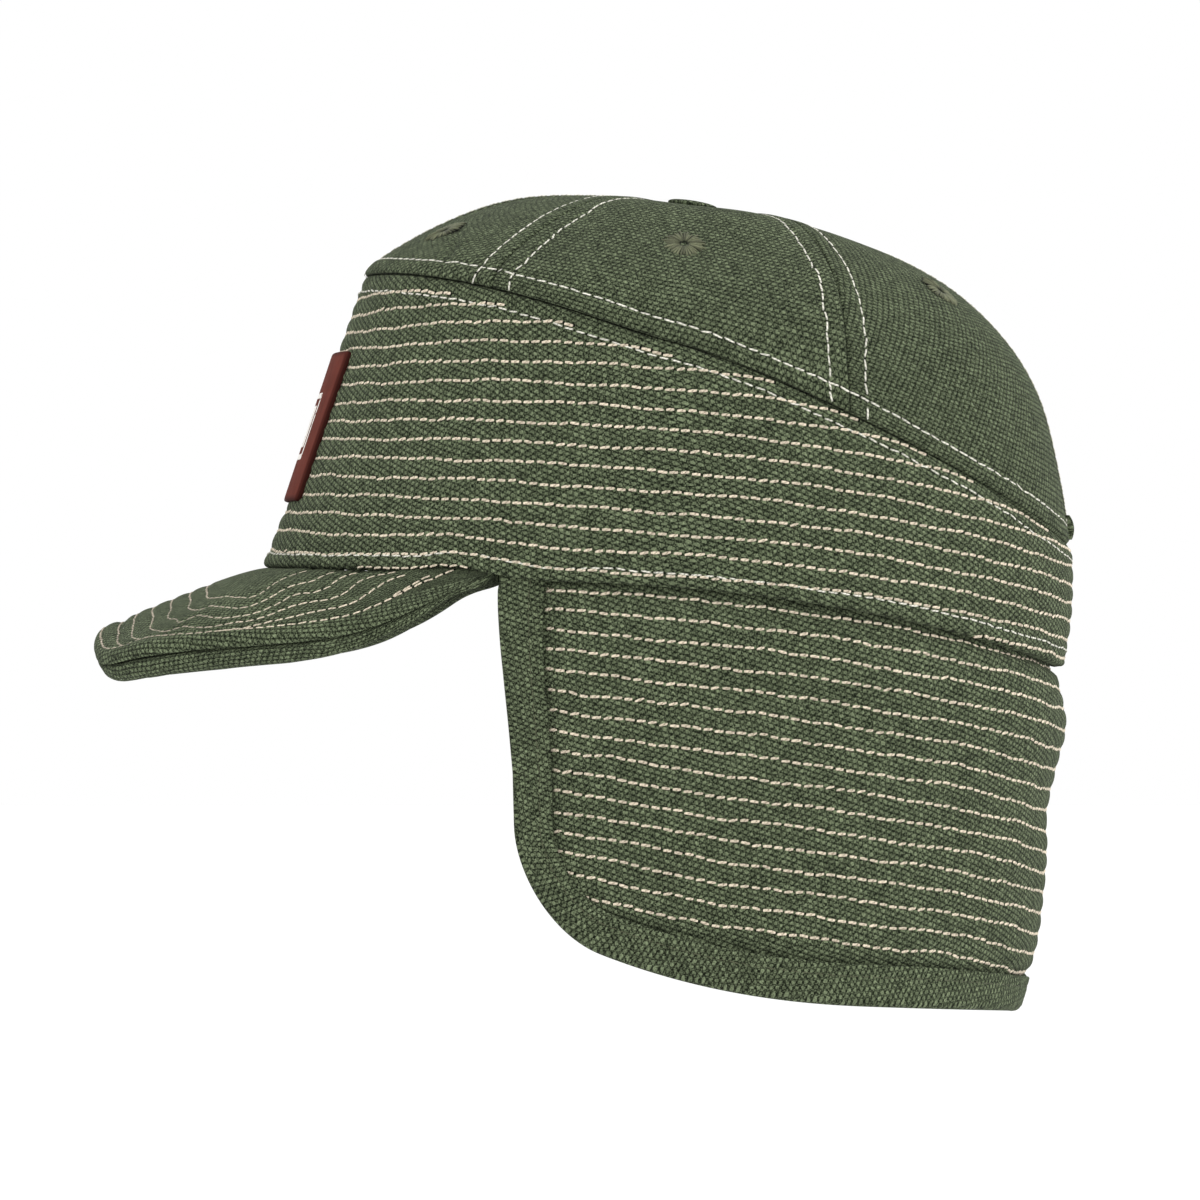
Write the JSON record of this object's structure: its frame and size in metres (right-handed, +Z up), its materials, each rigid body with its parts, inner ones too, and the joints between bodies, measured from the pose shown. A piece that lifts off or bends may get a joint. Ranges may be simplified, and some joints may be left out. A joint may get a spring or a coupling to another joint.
{
  "type": "work hat",
  "caption": "Green canvas work cap with a quilted band, short quilted peak, bound neck flap, sewn eyelets and a plain leather front patch, in its worn form",
  "frame": {"origin": "middle of the head opening, where a head holds the hat, level with the lower edge of the band at the sides", "axes": "+Z up, -Y forward to the peak, +X to the wearer's left"},
  "size_m": [0.169, 0.2499, 0.2092],
  "materials": {
    "crown_canvas": "heavy plain-woven cotton canvas, matt, olive green",
    "quilted_canvas": "heavy cotton canvas quilted over soft padding in parallel rows of beige thread",
    "binding_tape": "bias-cut cotton tape, matt, olive green",
    "eyelet_thread": "close radial embroidery in green thread",
    "patch_leather": "smooth brown leather with a darker cut edge"
  },
  "bodies": {
    "root": {"crown_panel_front_left": "crown_canvas", "crown_panel_side_left": "crown_canvas", "crown_panel_back_left": "crown_canvas", "crown_panel_back_right": "crown_canvas", "crown_panel_side_right": "crown_canvas", "crown_panel_front_right": "crown_canvas", "eyelet_front_left": "eyelet_thread", "eyelet_side_left": "eyelet_thread", "eyelet_back_left": "eyelet_thread", "eyelet_back_right": "eyelet_thread", "eyelet_side_right": "eyelet_thread", "eyelet_front_right": "eyelet_thread", "crown_button": "crown_canvas", "quilted_band": "quilted_canvas", "front_patch": "patch_leather", "back_tab": "binding_tape", "peak_top": "quilted_canvas", "peak_under": "quilted_canvas", "neck_flap": "quilted_canvas", "flap_binding": "binding_tape"}
  },
  "joints": []
}
